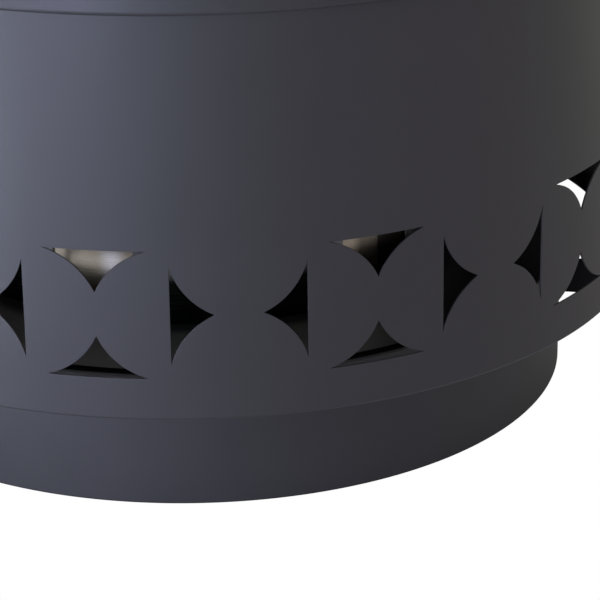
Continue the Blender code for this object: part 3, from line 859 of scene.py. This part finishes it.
def build_casing():
    points, normals = sheet([
        (SHELL_RADIUS - SHELL_TURN_IN, SHELL_TOP, 0),
        (SHELL_RADIUS, SHELL_TOP, 0.009),
        (SHELL_RADIUS, SHELL_BOTTOM, 0.002),
        (SHELL_RADIUS - SHELL_LIP, SHELL_BOTTOM, 0),
    ], SHEET)
    first = -pi / 2 - pi / GROUPS
    parts = pierced(
        points, normals, SHELL_RADIUS, SHEET, GROUPS, SHELL_STEPS // GROUPS, first,
        heights(*CASING_BAND), group_outlines(),
    )
    piece("casing_sheet", parts, COAT, "root", ["outer_shell"])

    points, normals = sheet([
        (0, PLINTH_TOP, 0),
        (PLINTH_RADIUS, PLINTH_TOP, PLINTH_BEND),
        (PLINTH_RADIUS, 0, 0.002),
        (PLINTH_RADIUS - PLINTH_LIP, 0, 0),
    ], SHEET)
    parts = [spin(points, normals, PLINTH_STEPS)]
    piece("plinth_drum", parts, COAT, "root", ["base_plinth"])

    points, normals = sheet([
        (LEDGE_BORE, LEDGE_TOP - LEDGE_COLLAR, 0),
        (LEDGE_BORE, LEDGE_TOP, 0.004),
        (LEDGE_RADIUS - LEDGE_TAPER, LEDGE_TOP, 0.012),
        (LEDGE_RADIUS, LEDGE_BOTTOM, 0.0032),
        (LEDGE_RADIUS - LEDGE_LIP, LEDGE_BOTTOM, 0),
    ], SHEET)
    parts = [spin(points, normals, SHELL_STEPS)]
    piece("ledge_ring", parts, COAT, "ledge", ["top_ledge"])


# Brackets and rivets

BRACKETS = 3
BRACKET_TOP = SHELL_BOTTOM - TOUCH
BRACKET_BOTTOM = BRACKET_TOP - 0.0285
BRACKET_INNER = PLINTH_RADIUS + TOUCH
BRACKET_OUTER = SHELL_RADIUS - 0.003
BRACKET_SHEET = 0.002
TAB_REACH = 0.025
TAB_MIDDLE = 0.013
LIP_TAB_DEPTH = 0.015
# How far the plinth's round wall falls back behind the middle of a bracket's flat tab
WALL_FALL = 0.0013

# Places of the rivets: heights from a bracket's middle, and distances from the axis
BRACKET_RIVETS = (("lower", -0.0075), ("upper", 0.007))
LIP_RIVET_RADIUS = 0.3425
FOOT_RIVET_RADIUS = 0.193
BOWL_RIVET_HEIGHT = 0.177

# A rivet's radii
RIVET_BORE = 0.0011
RIVET_CROWN = 0.0030
RIVET_HEAD = 0.0050
RIVET_SHANK = 0.0024
RIVET_TAIL = 0.0036
RIVET_STEPS = 28


def window_angles():
    """One pitch after another from the first, and the last one midway in the stretch that is left."""
    angles = [FIRST_WINDOW + WINDOW_PITCH * i for i in range(WINDOWS - 1)]
    return [*angles, (angles[-1] + FIRST_WINDOW + 2 * pi) / 2]


def bracket_parts(angle):
    """A folded plate: web and wall tab in one, and the piece with the lip tab on its end."""
    turn = Matrix.Rotation(angle, 4, "Z")
    half = BRACKET_SHEET / 2
    split = BRACKET_OUTER - LIP_TAB_DEPTH
    plan = [
        (split, half, PLATE_EDGE),
        (split, -half, PLATE_EDGE),
        (BRACKET_INNER, -half, 0.003),
        (BRACKET_INNER, TAB_REACH, 0.003),
        (BRACKET_INNER + BRACKET_SHEET, TAB_REACH, PLATE_EDGE),
        (BRACKET_INNER + BRACKET_SHEET, half, 0.001),
    ]
    # Seen along -X: the upright end of the web, folded over at the top
    end = [
        (-half, BRACKET_BOTTOM, PLATE_EDGE),
        (-half, BRACKET_TOP, 0.003),
        (TAB_REACH, BRACKET_TOP, PLATE_EDGE),
        (TAB_REACH, BRACKET_TOP - BRACKET_SHEET, PLATE_EDGE),
        (half, BRACKET_TOP - BRACKET_SHEET, 0.001),
        (half, BRACKET_BOTTOM, PLATE_EDGE),
    ]
    along = Matrix(((0, 0, 1), (1, 0, 0), (0, 1, 0))).to_4x4()
    return [
        prism(plan, BRACKET_BOTTOM, BRACKET_TOP, turn),
        prism(end, split, BRACKET_OUTER, turn @ along),
    ]


def rivet(outside, inside_face, matrix):
    """A blind rivet along Z: a domed head with its mandrel hole above, and a swelled tail below."""
    top, bottom = outside + TOUCH, inside_face - TOUCH
    points, normals = section([
        (0, top + 0.0006, 0),
        (RIVET_BORE, top + 0.0006, 0.0002),
        (RIVET_BORE + 0.0002, top + 0.0021, 0.0003),
        (RIVET_CROWN, top + 0.0018, 0.0015),
        (RIVET_HEAD - 0.0001, top + 0.0006, 0.0004),
        (RIVET_HEAD, top, 0.0002),
        (RIVET_SHANK, top, 0.0002),
        (RIVET_SHANK, bottom, 0.0002),
        (RIVET_TAIL, bottom, 0.0006),
        (RIVET_TAIL - 0.0006, bottom - 0.0015, 0.0008),
        (0, bottom - 0.0018, 0),
    ])
    return placed(spin(points, normals, RIVET_STEPS), matrix)


def build_fixings():
    def fixed(name, part, node):
        piece(name, [part], RIVET, "root", [node])

    middle = (BRACKET_TOP + BRACKET_BOTTOM) / 2
    for number in range(1, BRACKETS + 1):
        angle = 2 * pi * (number - 1) / BRACKETS
        parts = bracket_parts(angle)
        piece(f"bracket_plate_{number}", parts, COAT, "root", [f"shell_bracket_{number}"])
        turn = Matrix.Rotation(angle, 4, "Z")
        for name, shift in BRACKET_RIVETS:
            place = turn @ Matrix.Translation((BRACKET_INNER, TAB_MIDDLE, middle + shift))
            place = place @ Matrix.Rotation(pi / 2, 4, "Y")
            part = rivet(BRACKET_SHEET, -WALL_FALL - SHEET, place)
            fixed(f"wall_stud_{name}_{number}", part, f"bracket_rivet_{name}_{number}")
        place = turn @ Matrix.Translation((LIP_RIVET_RADIUS, TAB_MIDDLE, SHELL_BOTTOM))
        part = rivet(BRACKET_SHEET + TOUCH, -SHEET, place @ Matrix.Rotation(pi, 4, "X"))
        fixed(f"lip_stud_{number}", part, f"lip_rivet_{number}")

    angles = window_angles()
    angles.append(angles[0] + 2 * pi)
    for number in range(1, WINDOWS + 1):
        angle = (angles[number - 1] + angles[number]) / 2
        part = rivet(2 * SHEET + TOUCH, -TOUCH, outward(angle, BOWL_RADIUS - SHEET, BOWL_RIVET_HEIGHT))
        fixed(f"chamber_stud_{number}", part, f"chamber_rivet_{number}")
        angle = -pi / 2 + 2 * pi / GROUPS + 2 * pi * (number - 1) / WINDOWS
        spot = (FOOT_RIVET_RADIUS * cos(angle), FOOT_RIVET_RADIUS * sin(angle), PLINTH_TOP)
        fixed(f"ring_stud_{number}", rivet(SHEET + TOUCH, -SHEET, Matrix.Translation(spot)),
              f"ring_rivet_{number}")


# Fire bowl and the ring under it

def air_holes(count, height, size, steps):
    """The holes of a row that fall into one of the bowl's sectors, out of count all round."""
    holes = []
    for number in range(count // BOWL_SECTORS):
        middle = 2 * pi * (number + 0.5) / count
        angles = [2 * pi * i / steps for i in range(steps)]
        holes.append([
            (middle + asin(size * cos(angle) / BOWL_RADIUS), height + size * sin(angle))
            for angle in angles
        ])
    return holes


def window_outline():
    """One window as flat (x, height), with rounded corners and its edges cut into steps."""
    half = WINDOW_WIDTH / 2
    turns = []
    for start, (x, z, right, up) in enumerate((
        (half, WINDOW_TOP, 1, 1), (-half, WINDOW_TOP, -1, 1),
        (-half, WINDOW_BOTTOM, -1, -1), (half, WINDOW_BOTTOM, 1, -1),
    )):
        x, z = x - WINDOW_CORNER * right, z - WINDOW_CORNER * up
        for i in range(5):
            angle = pi / 2 * (start + i / 4)
            turns.append((x + WINDOW_CORNER * cos(angle), z + WINDOW_CORNER * sin(angle)))
    outline = []
    for (x, z), (next_x, next_z) in zip(turns, turns[1:] + turns[:1]):
        count = max(1, round(hypot(next_x - x, next_z - z) / WINDOW_EDGE_PITCH))
        outline += [(x + (next_x - x) * k / count, z + (next_z - z) * k / count) for k in range(count)]
    return outline


def build_bowl():
    rim = BOWL_TOP - SHEET
    points, normals = sheet([
        (BOWL_RADIUS + BOWL_FLANGE, rim, 0),
        (BOWL_RADIUS, rim, 0.003),
        (BOWL_RADIUS, BOWL_BOTTOM, 0.012),
        (0, BOWL_BOTTOM, 0),
    ], SHEET)
    parts = pierced(
        points, normals, BOWL_RADIUS, SHEET, BOWL_SECTORS, BOWL_STEPS // BOWL_SECTORS, 0,
        heights(*BOWL_BAND), air_holes(*LOW_HOLES) + air_holes(*HIGH_HOLES),
    )
    piece("fire_bowl", leaned(parts, WALL_LEAN), STEEL, "root", ["burn_chamber"])

    radius = BOWL_RADIUS + TOUCH + SHEET
    points, normals = sheet([
        (radius, RING_TOP, 0),
        (radius, RING_BOTTOM, 0.005),
        (radius - RING_FOOT, RING_BOTTOM, 0),
    ], SHEET)
    start = FIRST_WINDOW - pi / WINDOWS
    window = window_outline()
    outlines = [[(angle - start + asin(x / radius), z) for x, z in window] for angle in window_angles()]
    parts = pierced(
        points, normals, radius, SHEET, 1, BOWL_STEPS, start, heights(*RING_BAND), outlines
    )
    piece("carrier_ring", leaned(parts, WALL_LEAN), ZINC, "root", ["support_ring"])

    points, normals = sheet([
        (FLAME_BORE, FLAME_BOTTOM, 0),
        (FLAME_BORE, FLAME_TOP, 0.005),
        (FLAME_RIM, FLAME_TOP, 0),
    ], SHEET)
    parts = [spin(points, normals, BOWL_STEPS)]
    piece("flame_collar", parts, STEEL, "flame_ring", ["flame_ring"])

    points, normals = sheet([
        (PAN_RADIUS + PAN_FLANGE, PAN_TOP, 0),
        (PAN_RADIUS, PAN_TOP, 0.002),
        (PAN_RADIUS, PAN_BOTTOM, 0.010),
        (0, PAN_BOTTOM, 0),
    ], PAN_SHEET)
    parts = [spin(points, normals, BOWL_STEPS)]
    piece("ash_tray", parts, ZINC, "ash_pan", ["ash_pan"])


# Log grate

GRATE_RADIUS = 0.172
GRATE_HEIGHT = 0.205
THICK_ROD = 0.005
THIN_ROD = 0.004
ROD_SIDES = 20
HOOP_STEPS = 144
BARS = 9
BAR_PITCH = 0.036
CROSSBARS = (-0.085, 0.085)
LEGS = 4
BEAD_WIDTH, BEAD_HEIGHT = 0.0026, 0.0016
BEAD_ASIDE, BEAD_SINK = 0.0030, 0.0002


def rod(radius, length, matrix):
    points, normals = section([
        (0, length / 2, 0),
        (radius, length / 2, 0.0008),
        (radius, -length / 2, 0.0008),
        (0, -length / 2, 0),
    ])
    return placed(spin(points, normals, ROD_SIDES), matrix)


def weld_bead(spot):
    """A flattened bead in the corner between two crossed bars."""
    angles = pi / 2 - pi * np.arange(9) / 8
    points = np.stack([BEAD_WIDTH * np.cos(angles), BEAD_HEIGHT * np.sin(angles)], 1)
    points[[0, -1], 0] = 0
    normals = np.stack([np.cos(angles), 1.6 * np.sin(angles)], 1)
    normals /= np.linalg.norm(normals, axis=1)[:, None]
    return placed(spin(points, normals, 12, closed=False), Matrix.Translation(spot))


def build_grate():
    def welded(name, parts, nodes):
        piece(name, parts, BLACK, "grate", nodes)

    angles = -2 * pi * np.arange(ROD_SIDES) / ROD_SIDES
    round_rod = np.stack([np.cos(angles), np.sin(angles)], 1)
    points = (GRATE_RADIUS, GRATE_HEIGHT) + THICK_ROD * round_rod
    welded("grate_hoop", [spin(points, round_rod, HOOP_STEPS)], ["grate_ring"])

    top = GRATE_HEIGHT + THICK_ROD + TOUCH + THIN_ROD
    welds = []
    for i in range(BARS):
        y = (i - (BARS - 1) // 2) * BAR_PITCH
        reach = sqrt((GRATE_RADIUS + THICK_ROD) ** 2 - (abs(y) + THIN_ROD) ** 2)
        place = Matrix.Translation((0, y, top)) @ Matrix.Rotation(pi / 2, 4, "Y")
        welded(f"grate_rod_{i + 1}", [rod(THIN_ROD, 2 * reach, place)], [f"grate_bar_{i + 1}"])
        across = sqrt(GRATE_RADIUS ** 2 - y ** 2)
        for x in (-across, *CROSSBARS, across):
            if abs(x) > across + THIN_ROD:
                continue
            for side in (-BEAD_ASIDE, BEAD_ASIDE):
                welds.append(weld_bead(Vector((x, y + side, GRATE_HEIGHT + THICK_ROD - BEAD_SINK))))
    welded("grate_weld_beads", welds, [])
    for i, x in enumerate(CROSSBARS, 1):
        low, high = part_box(f"grate_crossbar_{i}")
        place = Matrix.Translation((x, 0, GRATE_HEIGHT)) @ Matrix.Rotation(pi / 2, 4, "X")
        bar = rod(THICK_ROD, high.y - low.y, place)
        welded(f"grate_cross_rod_{i}", [bar], [f"grate_crossbar_{i}"])
    for number in range(1, LEGS + 1):
        low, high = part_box(f"grate_leg_{number}")
        leg = rod(THICK_ROD, high.z - low.z, Matrix.Translation((low + high) / 2))
        welded(f"grate_foot_{number}", [leg], [f"grate_leg_{number}"])


build_casing()
build_fixings()
build_bowl()
build_grate()


# Floor, light and camera

FLOOR_TONE = (0.80, 0.80, 0.80)
FLOOR_RADIUS = 9.0
FLOOR_DROP = 0.0002
AMBIENT = 0.47
AMBIENT_TONE = (1.0, 0.905, 0.93)

# The view: turned round the axis from straight in front, a long lens that looks 22 degrees down
VIEW_TURN = 12.16
VIEW_AZIMUTH = VIEW_TURN - 90
VIEW_LENS = 168.65
VIEW_FROM = (0, -2.1317, 0.9180)
VIEW_PAN, VIEW_PITCH, VIEW_ROLL = 0.0377, 0.3910, -0.0136

# Name, azimuth, distance, height, width, tall, power and colour
LAMPS = [
    ("low_front", VIEW_AZIMUTH - 30, 3.0, 0.20, 0.5, 0.5, 27.3, (0.69, 0.58, 1.0)),
    ("left_near", VIEW_AZIMUTH - 55, 1.0, 0.12, 0.3, 0.2, 4.5, (0.69, 0.82, 1.0)),
    ("front_near", VIEW_AZIMUTH - 20, 2.0, 0.30, 0.8, 0.4, 4.9, (0.47, 0.88, 1.0)),
    ("front_high", VIEW_AZIMUTH, 2.2, 2.2, 1.4, 1.4, 7.3, (0.75, 0.75, 1.0)),
    ("right_side", VIEW_AZIMUTH + 110, 1.6, 0.50, 0.5, 0.8, 2.2, (0.80, 1.0, 0.70)),
]
LAMP_AIM = Vector((0, 0, 0.2))


def seen_white(tree, socket, plain, white):
    """Links a shader to an output socket, with a white one in its place where the camera sees it."""
    pick = tree.nodes.new("ShaderNodeMixShader")
    seen = tree.nodes.new("ShaderNodeLightPath").outputs["Is Camera Ray"]
    for target, source in zip(pick.inputs, (seen, plain.outputs[0], white.outputs[0])):
        tree.links.new(source, target)
    tree.links.new(pick.outputs[0], socket)


def stage_floor():
    points = np.array([(FLOOR_RADIUS, 0.0), (0.0, 0.0)])
    spots, _, faces = spin(points, np.array([(0, 1.0), (0, 1.0)]), 96, closed=False)
    mesh = bpy.data.meshes.new("floor")
    mesh.from_pydata(spots.tolist(), [], faces)
    bm = bmesh.new()
    bm.from_mesh(mesh)
    bmesh.ops.remove_doubles(bm, verts=bm.verts, dist=WELD)
    bmesh.ops.recalc_face_normals(bm, faces=bm.faces)
    bm.to_mesh(mesh)
    bm.free()
    floor = bpy.data.objects.new("floor", mesh)
    floor.location.z = -FLOOR_DROP
    bpy.context.scene.collection.objects.link(floor)
    paper = bpy.data.materials.new("white_paper")
    paper.use_nodes = True
    tree = paper.node_tree
    shader = tree.nodes["Principled BSDF"]
    shader.inputs["Base Color"].default_value = (*FLOOR_TONE, 1)
    shader.inputs["Roughness"].default_value = 0.9
    glow = tree.nodes.new("ShaderNodeEmission")
    glow.inputs["Strength"].default_value = 1.0
    seen_white(tree, tree.nodes["Material Output"].inputs[0], shader, glow)
    mesh.materials.append(paper)


def softbox(name, azimuth, distance, height, width, tall, power, colour):
    """An area light at an azimuth about the drum's axis, turned to the drum."""
    light = bpy.data.lights.new(name, "AREA")
    light.shape = "RECTANGLE"
    light.size, light.size_y = width, tall
    light.energy = power
    light.color = colour
    lamp = bpy.data.objects.new(name, light)
    angle = radians(azimuth)
    lamp.location = (distance * cos(angle), distance * sin(angle), height)
    lamp.rotation_euler = (lamp.location - LAMP_AIM).to_track_quat("Z", "Y").to_euler()
    lamp.visible_camera = False
    bpy.context.scene.collection.objects.link(lamp)


def studio():
    scene = bpy.context.scene
    world = bpy.data.worlds.new("studio")
    scene.world = world
    world.use_nodes = True
    tree = world.node_tree
    dim = tree.nodes["Background"]
    dim.inputs["Color"].default_value = (*AMBIENT_TONE, 1)
    dim.inputs["Strength"].default_value = AMBIENT
    white = tree.nodes.new("ShaderNodeBackground")
    white.inputs["Color"].default_value = (1, 1, 1, 1)
    seen_white(tree, tree.nodes["World Output"].inputs[0], dim, white)
    scene.view_settings.view_transform = "Standard"
    scene.view_settings.look = "None"
    for lamp in LAMPS:
        softbox(*lamp)


def camera():
    """The photograph's view of the cut-outs, from in front and above."""
    made = bpy.data.cameras.new("view")
    made.sensor_width = 36
    made.lens = VIEW_LENS
    made.clip_end = 60
    holder = bpy.data.objects.new("view", made)
    bpy.context.scene.collection.objects.link(holder)
    ahead = Vector((sin(VIEW_PAN), cos(VIEW_PAN), 0))
    right = Vector((cos(VIEW_PAN), -sin(VIEW_PAN), 0))
    look = ahead * cos(VIEW_PITCH) + Vector((0, 0, -1)) * sin(VIEW_PITCH)
    up = right.cross(look)
    x_axis = right * cos(VIEW_ROLL) + up * sin(VIEW_ROLL)
    y_axis = up * cos(VIEW_ROLL) - right * sin(VIEW_ROLL)
    stand = Matrix((x_axis, y_axis, -look)).transposed().to_4x4()
    stand.translation = VIEW_FROM
    holder.matrix_world = Matrix.Rotation(radians(VIEW_TURN), 4, "Z") @ stand
    bpy.context.scene.camera = holder


stage_floor()
studio()
camera()
